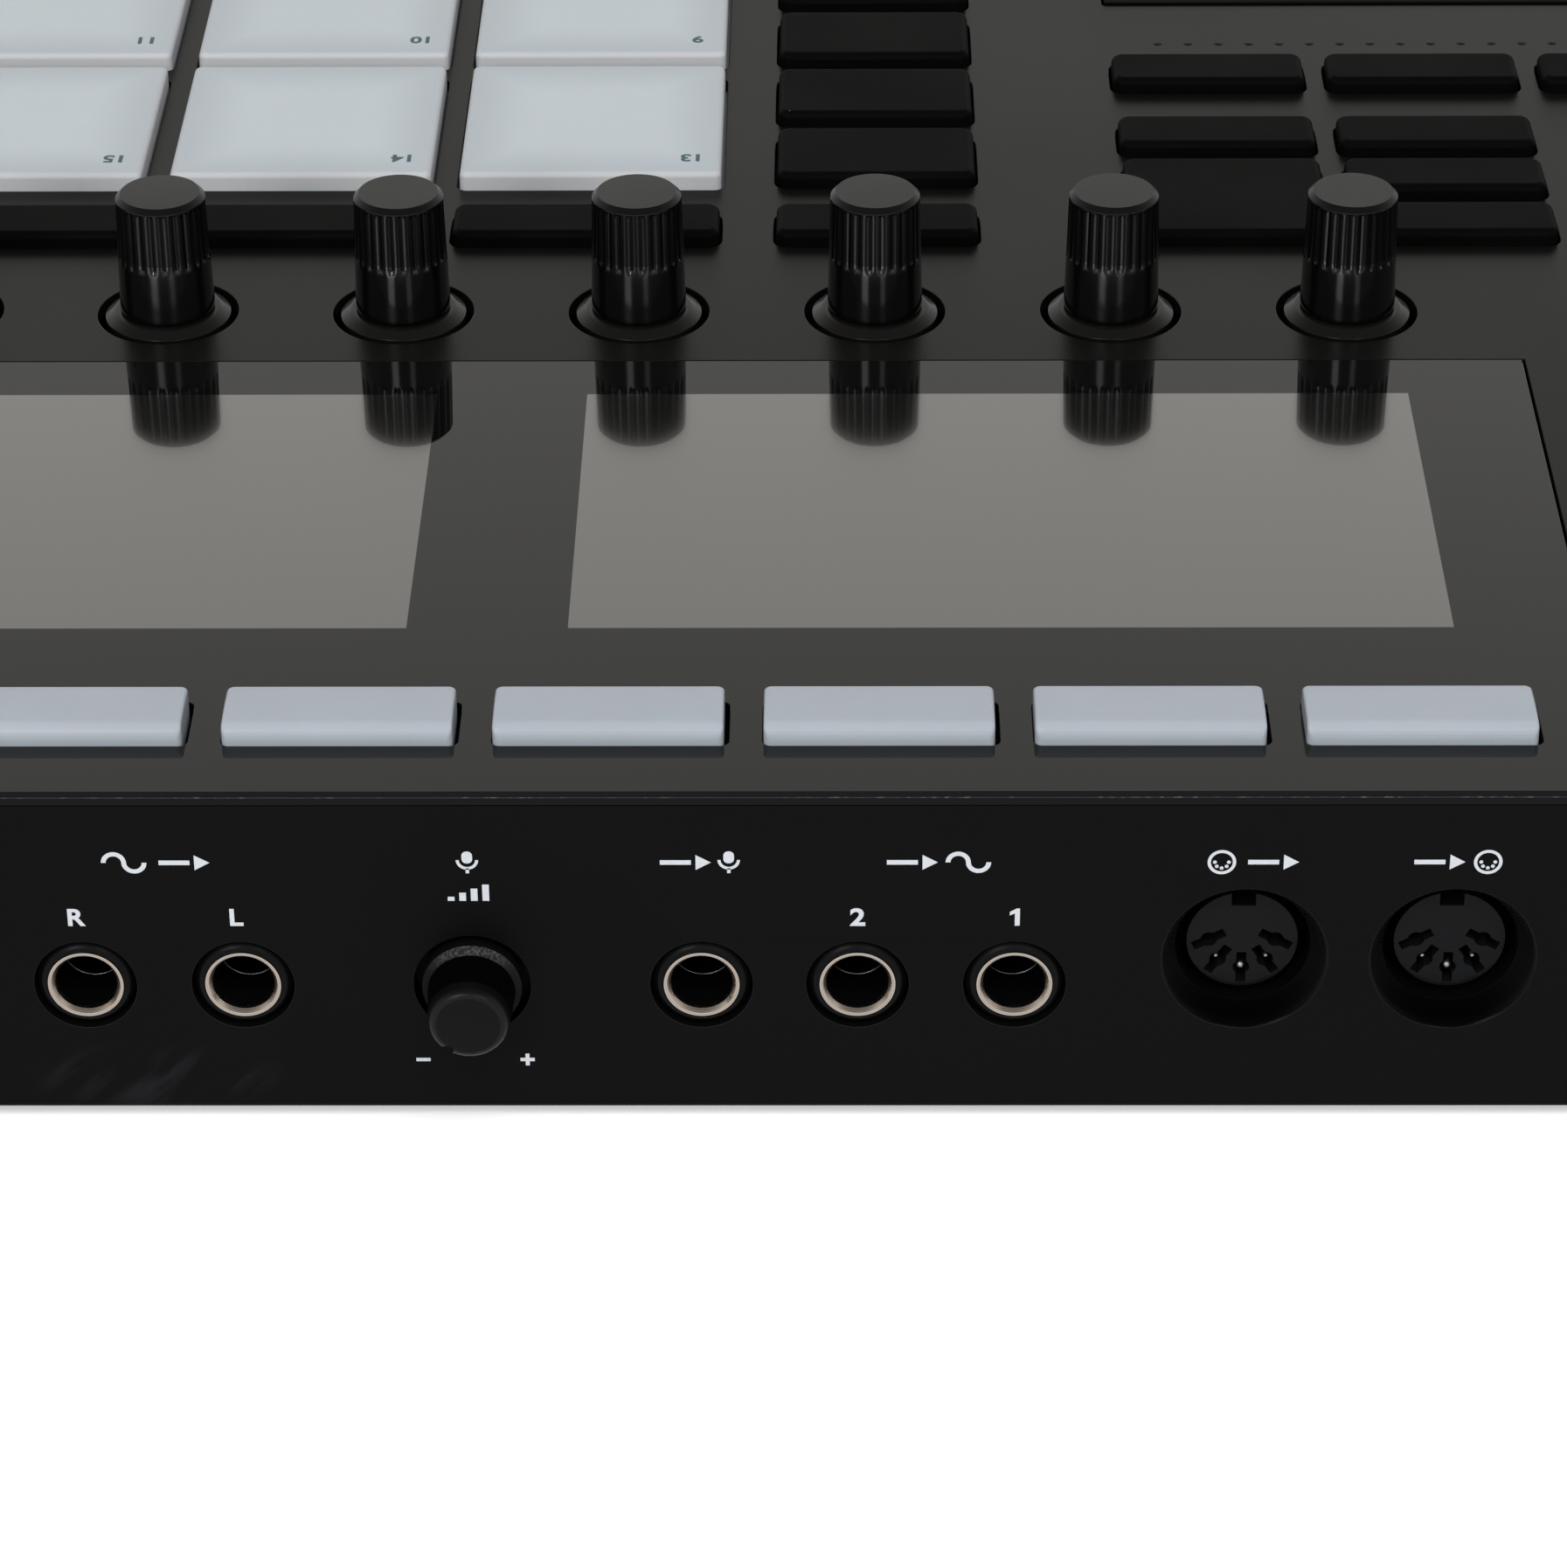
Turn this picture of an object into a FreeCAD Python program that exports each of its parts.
# A desktop controller for making music: pads, keys and knobs on a flat metal top,
# two displays under one cover glass, and sockets along the rear wall.
# Millimetres, +Z up. X runs to the right as the player sees it, +Y points to the
# rear wall. The origin is the centre of the overall box, on the table.
import FreeCAD, Part
import math
import os

V = FreeCAD.Vector

# Overall housing, whose width, depth and height follow from what it holds
corner_radius = 3.0
foot_height = 2.0
foot_diameter = 14.0
foot_inset = 24.0
rear_knob_reach = 7.6

# Shell thicknesses
plate_thickness = 1.6
side_wall = 2.5
rear_wall = 3.0
floor_thickness = 2.5
ledge_width = 3.0
post_size = 8.0
tall_post_spacing = 106.0
board_post_spacing = 213.0

# Boards
board_thickness = 1.6
board_gap = 0.5
control_board_drop = 5.4
switch_height = 1.0
main_board_rise = 3.1
main_board_depth = 72.0
socket_board_gap = 1.5

# Fits and gaps between neighbours
side_gap = 0.3
flange_gap = 0.25
running_gap = 0.05
bottom_gap = 0.2
seat_gap = 0.1

# Turned pieces repeat many times, so each has this many flats in place of a true round
flats = 18
shaft_flats = 8
wheel_flats = 36

# Pads
pad_size = 32.7
pad_spacing = 3.5
pad_rise = 2.2
pad_travel = 0.8
pad_corner = 0.8
pad_flange = 0.7
side_margin = 10.35
front_margin = 10.0
pads_across = 4
pads_deep = 4

# Black keys
key_width = 24.7
key_column_gap = 3.0
key_row_gap = 3.9
short_key_depth = 8.75
key_rise = 1.9
key_travel = 0.6
key_corner = 1.0
pad_side_gap = 7.0
pad_rear_gap = 7.45
mode_glass_gap = 30.4
web_margin = 1.0
web_thickness = 1.8

# Display glass and what it covers
glass_end = 5.4
glass_gap = 0.35
screen_width = 95.3
screen_depth = 54.0
screen_front_border = 8.3
screen_key_gap = 15.5
screen_sink = 0.3
module_frame_width = 5.1
module_frame_depth = 6.6
module_spacing = 7.1
module_thickness = 4.0
module_floor = 1.25
module_foot = 6.0

# White keys in the glass and the knobs in line with them, four to each display
columns = 8
columns_per_screen = 4
white_key_width = 24.5
white_key_depth = 8.6
white_key_back = 9.1
white_key_rise = 2.4
white_key_crown = 0.35
white_key_crown_width = 4.6
white_key_end = 0.6
white_key_travel = 0.7

# Fluted knobs and their collars
knob_glass_gap = 12.9
knob_hole_diameter = 16.8
collar_diameter = 15.4
collar_top_diameter = 12.2
collar_rise = 0.75
knob_base_diameter = 11.3
knob_top_diameter = 10.5
knob_base_rise = 1.0
knob_top_rise = 15.6
knob_smooth_height = 6.9
flute_count = 24
flute_share = 0.08
knob_shaft_diameter = 6.0
encoder_size = 12.0
encoder_height = 4.0

# Four-way encoder knob in the left section
wheel_hole_diameter = 29.0
wheel_collar_diameter = 27.6
wheel_diameter = 24.0
wheel_top_diameter = 22.4
wheel_dish_diameter = 16.0
wheel_dish_floor_diameter = 10.0
wheel_dish_depth = 1.2
wheel_edge = 0.9
wheel_top_rise = 12.4
wheel_travel = 0.8
wheel_stem_diameter = 6.0
wheel_stem_length = 7.0
wheel_stem_flange = 10.0
wheel_encoder_size = 16.0

# Browse keys, strip keys and touch strip of the left section
browse_columns = 2
browse_rows = 6
browse_glass_gap = 10.9
strip_keys_gap = 10.45
strip_front_gap = 6.3
strip_depth = 9.8
strip_rise = 0.3
left_columns = 4
left_rows = 4

# Rear wall: centres from the end of the wall on the player's right, then from the other end
jacks_from_right = [15.3, 87.3, 103.8, 151.8, 168.1, 184.5]
rear_knobs_from_right = [39.3, 63.3, 127.8]
lock_from_left = 8.0
power_from_left = 19.0
dc_from_left = 34.0
usb_from_left = 49.5
pedal_jack_from_left = 68.0
din_from_left = [111.6, 89.9]
socket_spacing = 1.0

# Sockets, with centres this far above the main board
jack_rise = 8.0
jack_hole_diameter = 10.8
jack_nose_diameter = 10.4
jack_nose_sink = 0.3
jack_bore = 6.5
jack_bore_depth = 30.0
jack_body_width = 14.0
jack_body_top = 8.2
jack_end_wall = 1.2
bush_diameter = 8.06
bush_bore = 6.7
bush_length = 4.0

din_rise = 11.2
din_mouth_diameter = 17.4
din_throat_diameter = 14.1
din_disc_diameter = 11.7
din_disc_sink = 3.7
din_groove_depth = 6.0
din_body_width = 19.0
din_body_top = 10.5
din_body_depth = 12.0
din_key_width = 2.6
din_key_depth = 1.6
din_contact_circle = 7.0
din_contact_width = 1.3
din_contact_length = 2.4
din_contact_depth = 4.0

rear_knob_recess = 12.3
rear_knob_skirt = 10.45
rear_knob_body = 9.2
rear_knob_end = 8.3
rear_knob_sink = 1.0
rear_knob_skirt_reach = 1.2
rear_knob_edge = 0.5
rear_knob_notch = 1.2
rear_shaft_diameter = 4.0
rear_shaft_length = 7.0
pot_size = 12.0
pot_depth = 8.0
pot_top = 6.2

usb_rise = 6.4
usb_mouth_width = 8.45
usb_mouth_height = 7.8
usb_shell = 1.6
usb_panel_gap = 0.8
usb_depth = 16.0
usb_hollow_depth = 9.0
usb_tongue_width = 5.6
usb_tongue_height = 3.2
usb_tongue_length = 4.2

dc_bore = 5.7
dc_pin = 2.0
dc_body_width = 9.0
dc_body_top = 5.0
dc_depth = 14.0
dc_bore_depth = 9.5
dc_panel_hole = 8.0

power_diameter = 8.0
power_reach = 2.0
power_travel = 1.5
power_stem_diameter = 4.0
power_stem_length = 6.0

lock_width = 7.0
lock_height = 3.0

# Levels, from the table up: the tall sockets carry the height
floor_top = foot_height + floor_thickness
main_under = floor_top + main_board_rise
main_top = main_under + board_thickness
jack_z = main_top + jack_rise
din_z = main_top + din_rise
usb_z = main_top + usb_rise
board_under = din_z + din_body_top + socket_board_gap
board_top = board_under + board_thickness
plate_under = board_top + control_board_drop
plate_top = plate_under + plate_thickness

# Depth, from the pads at the front to the glass at the rear
pad_pitch = pad_size + pad_spacing
half_pitch = pad_pitch / 2
tall_key_depth = half_pitch - key_row_gap
pads_depth = pads_deep * pad_pitch - pad_spacing
screen_back = white_key_back + white_key_depth + screen_key_gap
glass_depth = screen_back + screen_depth + screen_front_border
keys_depth = pad_rear_gap + short_key_depth + mode_glass_gap
body_depth = front_margin + pads_depth + keys_depth + glass_depth
front_y = -(body_depth + rear_knob_reach) / 2
rear_y = front_y + body_depth
panel_inner_y = rear_y - rear_wall
behind_panel_y = panel_inner_y - seat_gap
pads_y = front_y + front_margin
pads_rear_y = pads_y + pads_depth

# Width: the top holds browse keys and glass side by side, the rear wall holds the sockets
key_pitch = key_width + key_column_gap
screen_pitch = screen_width + 2 * module_frame_width + module_spacing
column_pitch = screen_pitch / columns_per_screen
glass_width = columns * column_pitch + 2 * glass_end
browse_width = browse_columns * key_pitch - key_column_gap
top_width = 2 * side_margin + browse_width + browse_glass_gap + glass_width
sockets_width = (jacks_from_right[-1] + (jack_body_width + din_body_width) / 2 + socket_spacing
                 + din_from_left[0])
body_width = max(top_width, sockets_width)
left_x = -body_width / 2 + side_margin
pads_right_x = body_width / 2 - side_margin
pads_left_x = pads_right_x - (pads_across * pad_pitch - pad_spacing)
side_key_x = pads_left_x - pad_side_gap - key_width / 2
glass_centre_x = pads_right_x - glass_width / 2

# Rows and places that other pieces share
browse_pitch = (glass_depth - white_key_back - short_key_depth) / (browse_rows - 1)
knob_back = glass_depth + knob_glass_gap
short_key_pitch = short_key_depth + key_row_gap
mode_row_y = pads_rear_y + pad_rear_gap + short_key_depth / 2
strip_keys_y = mode_row_y - 2 * short_key_pitch - short_key_depth - strip_keys_gap
wheel_x = left_x + key_width + key_column_gap / 2
wheel_y = mode_row_y - short_key_pitch
web_top = plate_under - flange_gap
web_under = web_top - web_thickness
wheel_base_rise = collar_rise + wheel_travel + side_gap


def back(distance):
    """The Y of a line this far forward of the rear edge."""
    return rear_y - distance


def from_left(distance):
    """The X of a place this far from the end of the rear wall on the player's left."""
    return distance - body_width / 2


def from_right(distance):
    return body_width / 2 - distance


jack_x = [from_right(distance) for distance in jacks_from_right] + [from_left(pedal_jack_from_left)]
rear_knob_x = [from_right(distance) for distance in rear_knobs_from_right]
din_x = [from_left(distance) for distance in din_from_left]
usb_x = from_left(usb_from_left)
dc_x = from_left(dc_from_left)
power_x = from_left(power_from_left)
lock_x = from_left(lock_from_left)


def column_x(index):
    """Centre of a white key or knob, counted from the left."""
    return glass_centre_x + column_pitch * (index - (columns - 1) / 2)


def left_column_x(index):
    """Centre of a column of black keys in the left section, from the left."""
    return left_x + key_width / 2 + key_pitch * index


def half_row_y(index):
    """Centre of a tall key row, two of which go to each pad row, from the front."""
    return pads_y + half_pitch * (index + 0.5) - pad_spacing / 2


def pad_centre(index):
    """Centre of pad 0 to 15, from the front left corner, row by row."""
    x = pads_left_x + pad_size / 2 + pad_pitch * (index % pads_across)
    y = pads_y + pad_size / 2 + pad_pitch * (index // pads_across)
    return x, y


# Basic shapes
def block(x0, x1, y0, y1, z0, z1):
    return Part.makeBox(x1 - x0, y1 - y0, z1 - z0, V(x0, y0, z0))


def centred_block(x, y, width, depth, z0, z1):
    return block(x - width / 2, x + width / 2, y - depth / 2, y + depth / 2, z0, z1)


def rearward(x, z, diameter, y0, y1):
    """A true round cylinder along Y between two planes."""
    return Part.makeCylinder(diameter / 2, y1 - y0, V(x, y0, z), V(0, 1, 0))


def flat_ring(radius, height, sides):
    """Corner points of a regular outline, turned so that a flat faces front."""
    turns = [2 * math.pi * (step + 0.5) / sides for step in range(sides)]
    return [V(radius * math.sin(turn), radius * math.cos(turn), height) for turn in turns]


def skinned(rings, closed):
    """The solid between rings of as many points each, joined point to point."""
    faces = []
    for low, high in zip(rings, rings[1:] + rings[:closed]):
        for step in range(len(low)):
            after = (step + 1) % len(low)
            corners = [low[step], low[after], high[after], high[step]]
            ring = [p for index, p in enumerate(corners) if not p.isEqual(corners[index - 1], 1e-7)]
            faces.append(Part.Face(Part.makePolygon(ring + ring[:1])))
    solid = Part.Solid(Part.makeShell(faces)).removeSplitter()
    return solid if solid.Volume > 0 else solid.reversed()


def turned(profile, x, y, sides=flats):
    """Turns (radius, height) points about an upright axis, with flats for a round.
    The points go round the section, or from the axis back to the axis."""
    rings = [flat_ring(radius, height, sides) for radius, height in profile]
    solid = skinned(rings, profile[0][0] > 0)
    solid.translate(V(x, y, 0))
    return solid


def turned_rearward(profile, x, z, sides=flats):
    """The same about an axis along Y, from (radius, y) points."""
    solid = turned(profile, 0, 0, sides)
    solid.rotate(V(0, 0, 0), V(1, 0, 0), -90)
    solid.translate(V(x, 0, z))
    return solid


def upright(x, y, diameter, z0, z1, sides=flats):
    radius = diameter / 2
    return turned([(0, z0), (radius, z0), (radius, z1), (0, z1)], x, y, sides)


def flat_rearward(x, z, diameter, y0, y1, sides=flats):
    radius = diameter / 2
    return turned_rearward([(0, y0), (radius, y0), (radius, y1), (0, y1)], x, z, sides)


def through(radius, sides):
    """Corner radius of a bore whose flats clear a shaft of this radius."""
    return (radius + running_gap) / math.cos(math.pi / sides)


def cornered(x, y, width, depth, corner, z0, z1):
    """A block whose four upright corners are cut off."""
    a, b = width / 2, depth / 2
    outline = [(a - corner, -b), (a, -b + corner), (a, b - corner), (a - corner, b),
               (-a + corner, b), (-a, b - corner), (-a, -b + corner), (-a + corner, -b)]
    points = [V(x + px, y + py, z0) for px, py in outline]
    face = Part.Face(Part.makePolygon(points + points[:1]))
    return face.extrude(V(0, 0, z1 - z0))


def rounded(x0, x1, y0, y1, radius, z0, z1):
    """A block with its four upright edges rounded."""
    solid = block(x0, x1, y0, y1, z0, z1)
    edges = [e for e in solid.Edges if abs(e.tangentAt(e.FirstParameter).z) > 0.99]
    return solid.makeFillet(radius, edges)


def joined(shapes):
    """One solid from shapes that meet."""
    first, *rest = shapes
    return first.fuse(rest).removeSplitter() if rest else first


def without(solid, tools):
    return solid.cut(tools) if tools else solid


def save(name, solids):
    """Writes one node, as one solid or as a group of separate solids."""
    group = solids if isinstance(solids, list) else [solids]
    shape = group[0] if len(group) == 1 else Part.makeCompound(group)
    shape.exportStep(os.path.join("parts", name + ".step"))


# Black keys, as (centre x, centre y, width, depth), bank by bank
def short_key(x, y, width=key_width):
    return (x, y, width, short_key_depth)


def tall_key(x, y):
    return (x, y, key_width, tall_key_depth)


def pad_bank_keys():
    column = [tall_key(side_key_x, half_row_y(row)) for row in range(2 * pads_deep)]
    modes = [short_key(pad_centre(index)[0], mode_row_y, pad_size) for index in range(pads_across)]
    return column + [short_key(side_key_x, mode_row_y)] + modes


def wheel_bank_keys():
    pitch = short_key_pitch
    swing = [short_key(left_column_x(2), mode_row_y - pitch * row) for row in range(3)]
    double_y = mode_row_y - pitch / 2
    double = (left_column_x(3), double_y, key_width, short_key_depth + pitch)
    lock = short_key(left_column_x(3), mode_row_y - 2 * pitch)
    strip = [short_key(left_column_x(column), strip_keys_y) for column in range(left_columns)]
    return swing + [double, lock], strip


def browse_bank_keys():
    first_y = back(white_key_back) - short_key_depth / 2
    return [short_key(left_column_x(column), first_y - browse_pitch * row)
            for row in range(browse_rows) for column in range(browse_columns)]


def row_keys(rows):
    return [tall_key(left_column_x(column), half_row_y(row))
            for row in rows for column in range(left_columns)]


def key_banks():
    """Node name of each moulded key mat, with its keys in patches of web."""
    beside_wheel, strip = wheel_bank_keys()
    pad_keys = pad_bank_keys()
    column, modes = pad_keys[:2 * pads_deep + 1], pad_keys[2 * pads_deep:]
    stalk = [beside_wheel[-1], strip[-1]]
    return {
        "pad_key_mat": (pad_keys, [column, modes]),
        "wheel_key_mat": (beside_wheel + strip, [beside_wheel, strip, stalk]),
        "browse_key_mat": (browse_bank_keys(), [browse_bank_keys()]),
        "group_key_mat": (row_keys([2, 3]), [row_keys([2, 3])]),
        "transport_key_mat": (row_keys([0, 1]), [row_keys([0, 1])]),
    }


def every_black_key():
    return [key for keys, patches in key_banks().values() for key in keys]


def web_patch(keys, z0, z1):
    """The flat web under a group of keys."""
    x0 = min(x - width / 2 for x, y, width, depth in keys) - web_margin
    x1 = max(x + width / 2 for x, y, width, depth in keys) + web_margin
    y0 = min(y - depth / 2 for x, y, width, depth in keys) - web_margin
    y1 = max(y + depth / 2 for x, y, width, depth in keys) + web_margin
    return block(x0, x1, y0, y1, z0, z1)


def black_key(key, z0):
    """One key standing on the web, with its corners cut."""
    return cornered(*key, key_corner, z0, plate_top + key_rise)


def key_mat(keys, patches):
    webs = [web_patch(patch, web_under, web_top) for patch in patches]
    caps = [black_key(key, (web_top + web_under) / 2) for key in keys]
    return joined(webs + caps)


# Pads, white keys
def pad(index):
    """Cap with cut corners on a wider foot that stays under the plate."""
    x, y = pad_centre(index)
    under = board_top + switch_height + bottom_gap + pad_travel
    foot_top = plate_under - flange_gap
    size = pad_size + 2 * (side_gap + pad_flange)
    cap = cornered(x, y, pad_size, pad_size, pad_corner, foot_top, plate_top + pad_rise)
    return joined([centred_block(x, y, size, size, under, foot_top), cap])


def white_key(index):
    """A bar with a crowned top and eased ends, on a wider foot under the glass."""
    x = column_x(index)
    rear = back(white_key_back)
    front = rear - white_key_depth
    middle = (front + rear) / 2
    low = plate_under - flange_gap
    high = plate_top + white_key_rise
    shoulder = high - white_key_crown
    half = white_key_width / 2
    crown = white_key_crown_width / 2
    section = [(front, low), (front, shoulder), (middle - crown, high), (middle + crown, high),
               (rear, shoulder), (rear, low)]
    points = [V(x - half, y, z) for y, z in section]
    bar = Part.Face(Part.makePolygon(points + points[:1])).extrude(V(white_key_width, 0, 0))
    crown_ends = [e for e in bar.Edges if e.BoundBox.XLength < 1e-6 and e.BoundBox.ZMin > plate_top]
    bar = bar.makeChamfer(white_key_end, crown_ends)
    foot_under = board_top + switch_height + bottom_gap + white_key_travel
    foot = block(x - half - web_margin, x + half + web_margin, front - web_margin,
                 rear + web_margin, foot_under, low)
    return joined([bar, foot])


# Fluted knobs, their collars and encoders
def fluted_ring(radius, height, share):
    """Points on the ridges, with a groove point drawn in by a share between each two."""
    points = []
    for step in range(2 * flute_count):
        turn = math.pi * step / flute_count
        reach = radius * (1 - share * (step % 2))
        points.append(V(reach * math.sin(turn), reach * math.cos(turn), height))
    return points


def fluted_knob(index):
    """Plain foot, fluted grip and shaft, turned about an upright axis."""
    x, y = column_x(index), back(knob_back)
    base = plate_top + knob_base_rise
    top = plate_top + knob_top_rise
    waist = base + knob_smooth_height
    base_radius, top_radius = knob_base_diameter / 2, knob_top_diameter / 2
    waist_radius = base_radius + (top_radius - base_radius) * (waist - base) / (top - base)
    plain = 1 - math.cos(math.pi / flute_count)
    rings = [fluted_ring(0, base, 0), fluted_ring(base_radius, base, plain),
             fluted_ring(waist_radius, waist, plain), fluted_ring(waist_radius, waist, flute_share),
             fluted_ring(top_radius, top, flute_share), fluted_ring(0, top, 0)]
    grip = skinned(rings, False)
    grip.translate(V(x, y, 0))
    shaft_end = board_top + encoder_height + seat_gap
    return joined([grip, upright(x, y, knob_shaft_diameter, shaft_end, base, shaft_flats)])


def knob_collar(x, y, radius, top_radius, shaft_radius, sides):
    """A cone round the knob's foot, on a bush that stands on the encoder."""
    low = board_top + encoder_height
    high = plate_top + collar_rise
    ring = turned([(0, low), (radius, low), (radius, plate_top), (top_radius, high), (0, high)],
                  x, y, sides)
    bore = 2 * through(shaft_radius, shaft_flats)
    return ring.cut(upright(x, y, bore, low, high, shaft_flats))


def knob_collars():
    y = back(knob_back)
    small = [knob_collar(column_x(index), y, collar_diameter / 2, collar_top_diameter / 2,
                         knob_shaft_diameter / 2, flats) for index in range(columns)]
    large = knob_collar(wheel_x, wheel_y, wheel_collar_diameter / 2, wheel_diameter / 2,
                        wheel_stem_diameter / 2, wheel_flats)
    return small + [large]


def encoder_bodies():
    small = [centred_block(column_x(index), back(knob_back), encoder_size, encoder_size,
                           board_top, board_top + encoder_height) for index in range(columns)]
    x, y = wheel_x, wheel_y
    large = centred_block(x, y, wheel_encoder_size, wheel_encoder_size, board_top,
                          board_top + encoder_height)
    well = upright(x, y, 2 * through(wheel_stem_flange / 2, shaft_flats), board_top + switch_height,
                   board_top + encoder_height, shaft_flats)
    return small + [large.cut(well)]


# Four-way encoder: a stem that is pressed down, and a knob that turns on it
def wheel_stem():
    """Stem with a foot that sits in the encoder's well."""
    foot_low = board_top + switch_height + bottom_gap + wheel_travel
    foot_top = board_top + encoder_height - flange_gap
    foot = wheel_stem_flange / 2
    stem = wheel_stem_diameter / 2
    top = plate_top + wheel_base_rise + wheel_stem_length
    return turned([(0, foot_low), (foot, foot_low), (foot, foot_top), (stem, foot_top),
                   (stem, top), (0, top)], wheel_x, wheel_y, shaft_flats)


def wheel_knob():
    """Broad knob with a dished top and a blind bore for the stem."""
    x, y = wheel_x, wheel_y
    base = plate_top + wheel_base_rise
    top = plate_top + wheel_top_rise
    side, upper = wheel_diameter / 2, wheel_top_diameter / 2
    knob = turned([(0, base), (side, base), (upper, top - wheel_edge), (upper - wheel_edge, top),
                   (wheel_dish_diameter / 2, top), (wheel_dish_floor_diameter / 2, top - wheel_dish_depth),
                   (0, top - wheel_dish_depth)], x, y, wheel_flats)
    bore = 2 * through(wheel_stem_diameter / 2, shaft_flats)
    return knob.cut(upright(x, y, bore, base, base + wheel_stem_length + seat_gap, shaft_flats))


# Top plate, glass, displays, touch strip
def key_hole(x, y, width, depth):
    return centred_block(x, y, width + 2 * side_gap, depth + 2 * side_gap, plate_under, plate_top)


def glass_edges(grow):
    half = glass_width / 2 + grow
    return (glass_centre_x - half, glass_centre_x + half, back(glass_depth + grow), rear_y)


def top_plate():
    half = body_width / 2
    plate = rounded(-half, half, front_y, rear_y, corner_radius, plate_under, plate_top)
    x0, x1, y0, y1 = glass_edges(glass_gap)
    holes = [block(x0, x1, y0, y1, plate_under, plate_top)]
    holes += [key_hole(*key) for key in every_black_key()]
    holes += [key_hole(*pad_centre(index), pad_size, pad_size)
              for index in range(pads_across * pads_deep)]
    holes += [upright(column_x(index), back(knob_back), knob_hole_diameter, plate_under, plate_top)
              for index in range(columns)]
    holes += [upright(wheel_x, wheel_y, wheel_hole_diameter, plate_under, plate_top,
                      wheel_flats)]
    holes += [strip_block(side_gap, plate_under, plate_top)]
    return without(plate, holes)


def strip_block(grow, z0, z1):
    x0 = left_x - grow
    x1 = left_column_x(left_columns - 1) + key_width / 2 + grow
    y0 = half_row_y(left_rows - 1) + tall_key_depth / 2 + strip_front_gap
    return block(x0, x1, y0 - grow, y0 + strip_depth + grow, z0, z1)


def touch_strip():
    return strip_block(0, board_top, plate_top + strip_rise)


def display_glass():
    x0, x1, y0, y1 = glass_edges(0)
    glass = block(x0, x1, y0, y1, plate_under, plate_top)
    y = back(white_key_back) - white_key_depth / 2
    holes = [key_hole(column_x(index), y, white_key_width, white_key_depth)
             for index in range(columns)]
    return without(glass, holes)


def display_module(x):
    """Frame on four feet, open over the display panel, which is a solid of its own."""
    y = back(screen_back + screen_depth / 2)
    width = screen_width + 2 * module_frame_width
    depth = screen_depth + 2 * module_frame_depth
    low = plate_under - module_thickness
    frame = centred_block(x, y, width, depth, low, plate_under)
    window = centred_block(x, y, screen_width, screen_depth, low + module_floor, plate_under)
    feet = [centred_block(x + sx * (width - module_foot) / 2, y + sy * (depth - module_foot) / 2,
                          module_foot, module_foot, board_top, low)
            for sx in (-1, 1) for sy in (-1, 1)]
    panel = centred_block(x, y, screen_width - seat_gap, screen_depth - seat_gap,
                          low + module_floor, plate_under - screen_sink)
    return [joined([frame.cut(window)] + feet), panel]


# Boards
def control_board():
    """The board under the plate, with the raised sensor and dome sheets under pads and keys."""
    gap = side_wall + board_gap
    half = body_width / 2 - gap
    board = block(-half, half, front_y + gap, panel_inner_y - board_gap, board_under, board_top)
    sheet_top = board_top + switch_height
    sheets = [block(pads_left_x, pads_right_x, pads_y, pads_rear_y, board_top, sheet_top)]
    y = back(white_key_back) - white_key_depth / 2
    sheets += [centred_block(column_x(index), y, white_key_width, white_key_depth, board_top,
                             sheet_top) for index in range(columns)]
    dome_top = web_under - key_travel - bottom_gap
    sheets += [web_patch(patch, board_top, dome_top)
               for keys, patches in key_banks().values() for patch in patches]
    return joined([board] + sheets)


def main_board():
    half = body_width / 2 - side_wall - ledge_width - board_gap
    return block(-half, half, panel_inner_y - board_gap - main_board_depth,
                 panel_inner_y - board_gap, main_under, main_top)


# Bottom tray with the rear wall
def tray_shell():
    half = body_width / 2
    shell = rounded(-half, half, front_y, rear_y, corner_radius, foot_height, plate_under)
    upper = block(-half + side_wall, half - side_wall, front_y + side_wall, panel_inner_y,
                  board_under, plate_under)
    step = side_wall + ledge_width
    lower = block(-half + step, half - step, front_y + step, panel_inner_y, floor_top, board_under)
    return shell.cut([upper, lower])


def tray_posts():
    """Square posts from the floor, two under the control board and four under the main board."""
    post_y = panel_inner_y - main_board_depth - post_size
    tall = [centred_block(side * tall_post_spacing / 2, post_y, post_size, post_size, floor_top,
                          board_under) for side in (-1, 1)]
    near = panel_inner_y - board_gap - post_size
    far = panel_inner_y - board_gap - main_board_depth + post_size
    low = [centred_block(side * board_post_spacing / 2, y, post_size, post_size, floor_top,
                         main_under) for side in (-1, 1) for y in (near, far)]
    return tall + low


def panel_hole(x, z, diameter):
    return flat_rearward(x, z, diameter, panel_inner_y, rear_y)


def din_funnel(x):
    """The dished opening round a DIN socket."""
    return turned_rearward([(0, panel_inner_y), (din_throat_diameter / 2, panel_inner_y),
                            (din_mouth_diameter / 2, rear_y), (0, rear_y)], x, din_z)


def usb_cut():
    width = usb_mouth_width + 2 * usb_panel_gap
    height = usb_mouth_height + 2 * usb_panel_gap
    return block(usb_x - width / 2, usb_x + width / 2, panel_inner_y, rear_y,
                 usb_z - height / 2, usb_z + height / 2)


def lock_cut():
    return block(lock_x - lock_width / 2, lock_x + lock_width / 2, panel_inner_y, rear_y,
                 jack_z - lock_height / 2, jack_z + lock_height / 2)


def bottom_tray():
    holes = [panel_hole(x, jack_z, jack_hole_diameter) for x in jack_x]
    holes += [panel_hole(x, jack_z, rear_knob_recess) for x in rear_knob_x]
    holes += [din_funnel(x) for x in din_x]
    holes += [panel_hole(dc_x, jack_z, dc_panel_hole), usb_cut(), lock_cut()]
    holes += [panel_hole(power_x, jack_z, power_diameter + 2 * side_gap)]
    return joined([tray_shell()] + tray_posts()).cut(holes)


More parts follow.
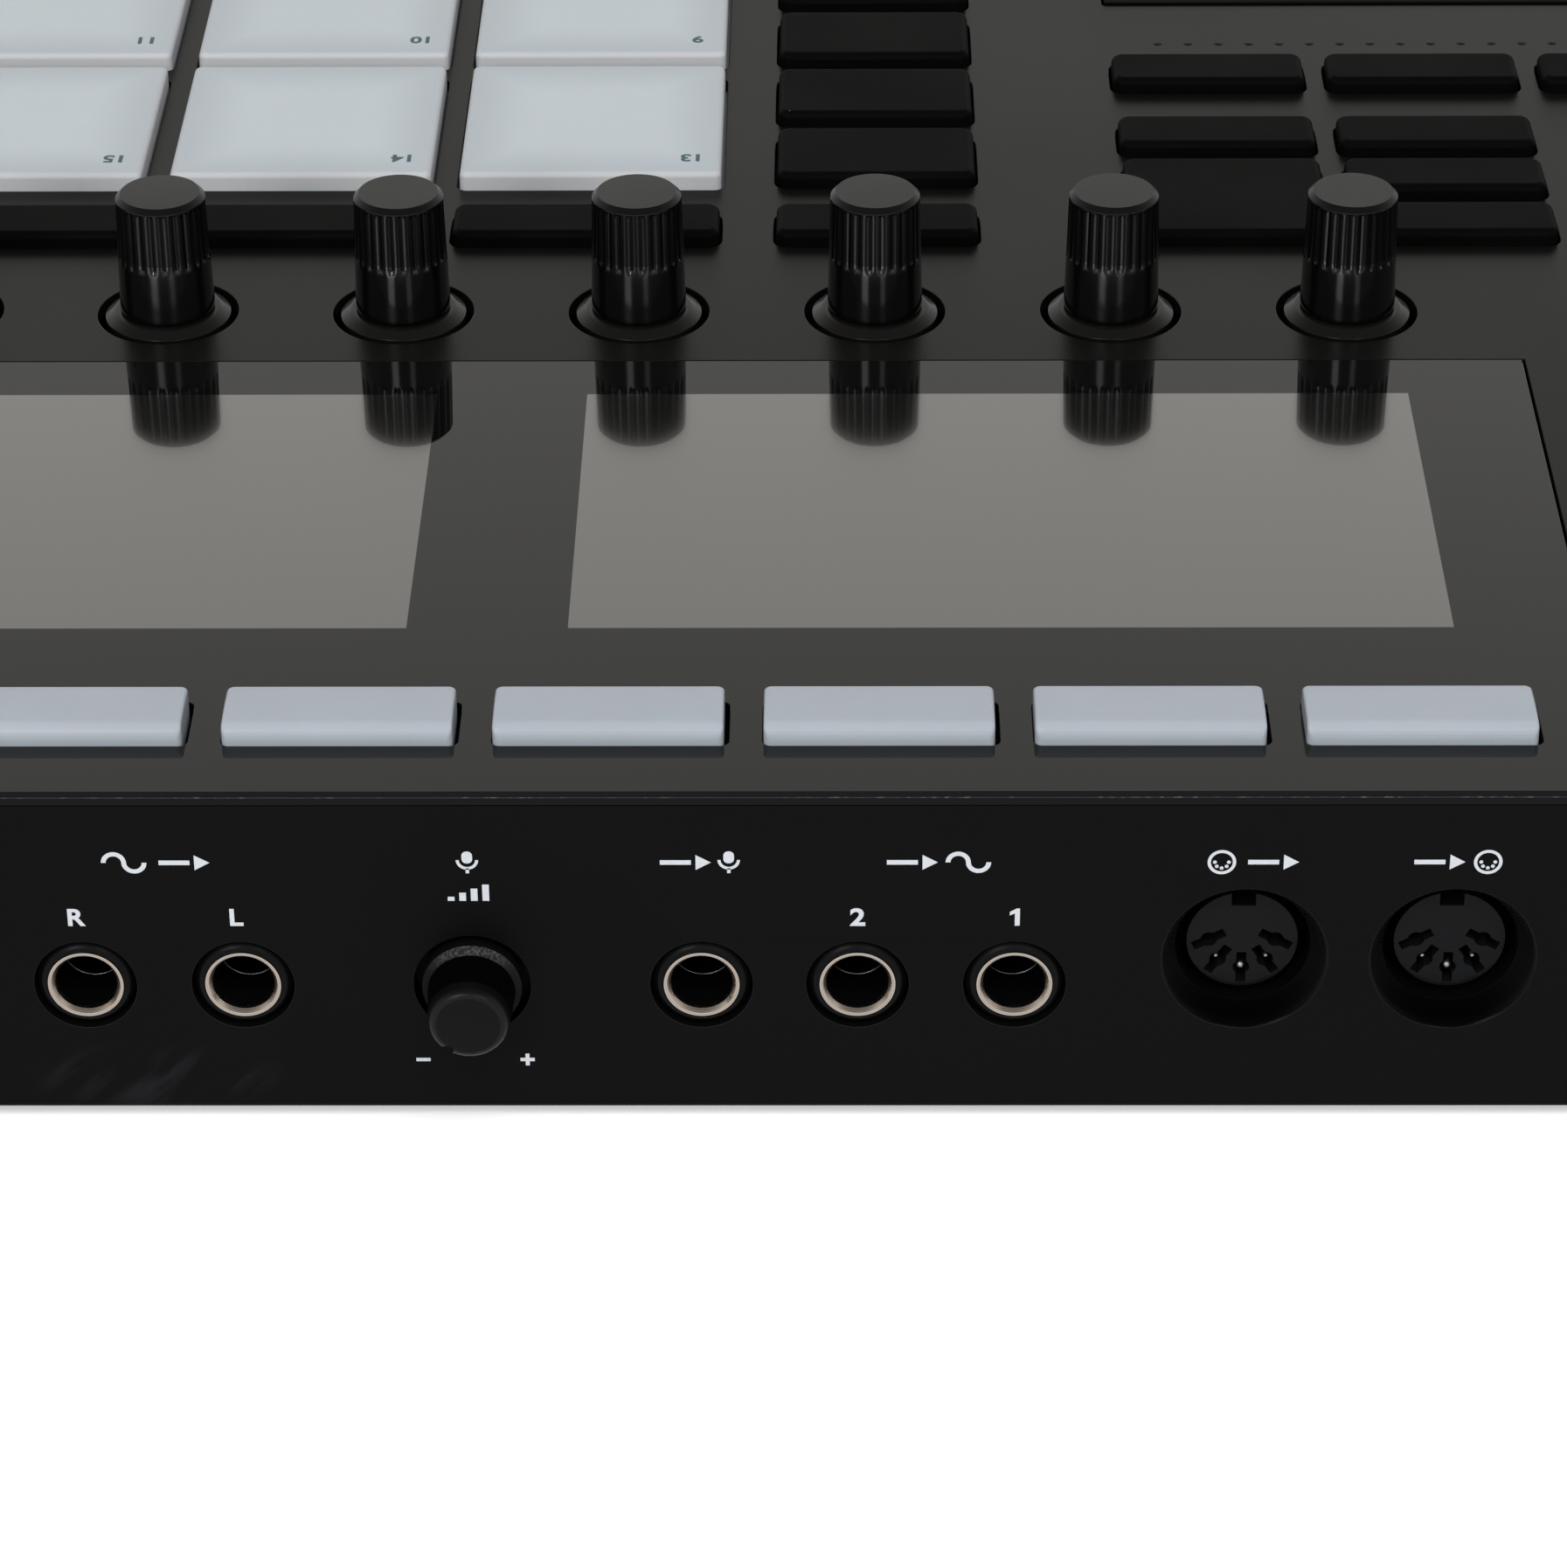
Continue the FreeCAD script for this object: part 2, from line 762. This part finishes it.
# Sockets
def jack_socket(x):
    """Housing with a nose in the panel hole, a seat for the bush and a blind round bore."""
    y = behind_panel_y
    front = rear_y - jack_bore_depth - jack_end_wall
    half = jack_body_width / 2
    body = block(x - half, x + half, front, y, main_top, jack_z + jack_body_top)
    nose = flat_rearward(x, jack_z, jack_nose_diameter, y, rear_y - jack_nose_sink)
    bore = rearward(x, jack_z, jack_bore, rear_y - jack_bore_depth, rear_y)
    seat = flat_rearward(x, jack_z, bush_diameter, rear_y - bush_length, rear_y)
    return joined([body, nose]).cut([bore, seat])


def jack_bush(x):
    """Nickel ring in the mouth of the jack."""
    inner, outer = bush_bore / 2, bush_diameter / 2
    return turned_rearward([(inner, rear_y - bush_length), (outer, rear_y - bush_length),
                            (outer, rear_y), (inner, rear_y)], x, jack_z)


def din_contact(x, angle):
    """One slot of the disc, lying along the radius."""
    slot = centred_block(0, -din_contact_circle / 2, din_contact_width, din_contact_length,
                         0, din_contact_depth)
    slot.rotate(V(0, 0, 0), V(0, 0, 1), angle)
    slot.rotate(V(0, 0, 0), V(1, 0, 0), 90)
    slot.translate(V(x, rear_y - din_disc_sink, din_z))
    return slot


def midi_socket(x):
    """Housing with a ring groove round the contact disc, which has a key notch on top."""
    y = behind_panel_y
    half = din_body_width / 2
    body = block(x - half, x + half, y - din_body_depth, y, main_top, din_z + din_body_top)
    well = flat_rearward(x, din_z, din_throat_diameter, y - din_groove_depth, y)
    disc = flat_rearward(x, din_z, din_disc_diameter, y - din_groove_depth, rear_y - din_disc_sink)
    notch = block(x - din_key_width / 2, x + din_key_width / 2, y - din_groove_depth, rear_y,
                  din_z + din_disc_diameter / 2 - din_key_depth, din_z + din_disc_diameter / 2)
    slots = [din_contact(x, 45 * step) for step in (-2, -1, 0, 1, 2)]
    return joined([body.cut(well), disc]).cut([notch] + slots)


def usb_socket():
    """Square socket with a tongue standing in its hollow."""
    y = behind_panel_y
    half = usb_mouth_width / 2
    low, high = usb_z - usb_mouth_height / 2, usb_z + usb_mouth_height / 2
    shell = block(usb_x - half - usb_shell, usb_x + half + usb_shell, y - usb_depth, y, main_top,
                  high + usb_shell)
    hollow = block(usb_x - half, usb_x + half, y - usb_hollow_depth, y, low, high)
    tongue = block(usb_x - usb_tongue_width / 2, usb_x + usb_tongue_width / 2,
                   y - usb_hollow_depth, y - usb_hollow_depth + usb_tongue_length,
                   usb_z - usb_tongue_height / 2, usb_z + usb_tongue_height / 2)
    return joined([shell.cut(hollow), tongue])


def dc_socket():
    """Power inlet: a round bore with a pin in its middle."""
    y = behind_panel_y
    half = dc_body_width / 2
    body = block(dc_x - half, dc_x + half, y - dc_depth, y, main_top, jack_z + dc_body_top)
    bore = flat_rearward(dc_x, jack_z, dc_bore, y - dc_bore_depth, y)
    pin = flat_rearward(dc_x, jack_z, dc_pin, y - dc_bore_depth, y - seat_gap, shaft_flats)
    return joined([body.cut(bore), pin])


# Rear knobs and the power button
def switchgear_body(x, stem, length):
    """A potentiometer or switch body with a bore for its stem."""
    y = behind_panel_y
    half = pot_size / 2
    body = block(x - half, x + half, y - pot_depth, y, main_top, jack_z + pot_top)
    bore = 2 * through(stem / 2, shaft_flats)
    return body.cut(flat_rearward(x, jack_z, bore, y - length, y, shaft_flats))


def rear_switchgear():
    pots = [switchgear_body(x, rear_shaft_diameter, rear_shaft_length) for x in rear_knob_x]
    return pots + [switchgear_body(power_x, power_stem_diameter, power_stem_length + power_travel)]


def rear_knob(x):
    """Skirt in the panel recess, tapering body with a pointer notch on its end, and shaft."""
    low = rear_y - rear_knob_sink
    skirt_end = rear_y + rear_knob_skirt_reach
    end = rear_y + rear_knob_reach
    skirt, body, face = rear_knob_skirt / 2, rear_knob_body / 2, rear_knob_end / 2
    knob = turned_rearward([(0, low), (skirt, low), (skirt, skirt_end), (body, skirt_end),
                            (face, end - rear_knob_edge), (face - rear_knob_edge, end), (0, end)],
                           x, jack_z)
    half = rear_knob_notch / 2
    notch = block(x - half, x + half, end - rear_knob_notch, end, jack_z - face - half,
                  jack_z - face + rear_knob_notch)
    tip = behind_panel_y - rear_shaft_length + bottom_gap
    shaft = flat_rearward(x, jack_z, rear_shaft_diameter, tip, low, shaft_flats)
    return joined([knob.cut(notch), shaft])


def power_button():
    """Round button with an eased edge, on a stem in the switch body."""
    low = panel_inner_y + power_travel
    end = rear_y + power_reach
    cap = power_diameter / 2
    button = turned_rearward([(0, low), (cap, low), (cap, end - rear_knob_edge),
                              (cap - rear_knob_edge, end), (0, end)], power_x, jack_z)
    tip = behind_panel_y - power_stem_length
    stem = flat_rearward(power_x, jack_z, power_stem_diameter, tip, low, shaft_flats)
    return joined([button, stem])


def feet():
    across = body_width / 2 - foot_inset
    deep = body_depth / 2 - foot_inset
    middle = (front_y + rear_y) / 2
    return [upright(sx * across, middle + sy * deep, foot_diameter, 0, foot_height)
            for sx in (-1, 1) for sy in (-1, 1)]


def main():
    os.makedirs("parts", exist_ok=True)
    save("bottom_tray", bottom_tray())
    save("top_plate", top_plate())
    save("display_glass", display_glass())
    save("display_module_left", display_module(glass_centre_x - screen_pitch / 2))
    save("display_module_right", display_module(glass_centre_x + screen_pitch / 2))
    save("touch_strip", touch_strip())
    save("control_board", control_board())
    save("main_board", main_board())
    save("encoder_bodies", encoder_bodies())
    save("knob_collars", knob_collars())
    save("jack_sockets", [jack_socket(x) for x in jack_x])
    save("jack_bushes", [jack_bush(x) for x in jack_x])
    save("midi_sockets", [midi_socket(x) for x in din_x])
    save("usb_socket", usb_socket())
    save("dc_socket", dc_socket())
    save("rear_switchgear", rear_switchgear())
    save("feet", feet())
    for index in range(columns):
        save("knob_%d" % (index + 1), fluted_knob(index))
        save("display_key_%d" % (index + 1), white_key(index))
    for index in range(pads_across * pads_deep):
        save("pad_%02d" % (index + 1), pad(index))
    for name, (keys, patches) in key_banks().items():
        save(name, key_mat(keys, patches))
    save("wheel_stem", wheel_stem())
    save("wheel_knob", wheel_knob())
    for name, x in zip(("phones_volume_knob", "main_volume_knob", "gain_knob"), rear_knob_x):
        save(name, rear_knob(x))
    save("power_button", power_button())


main()
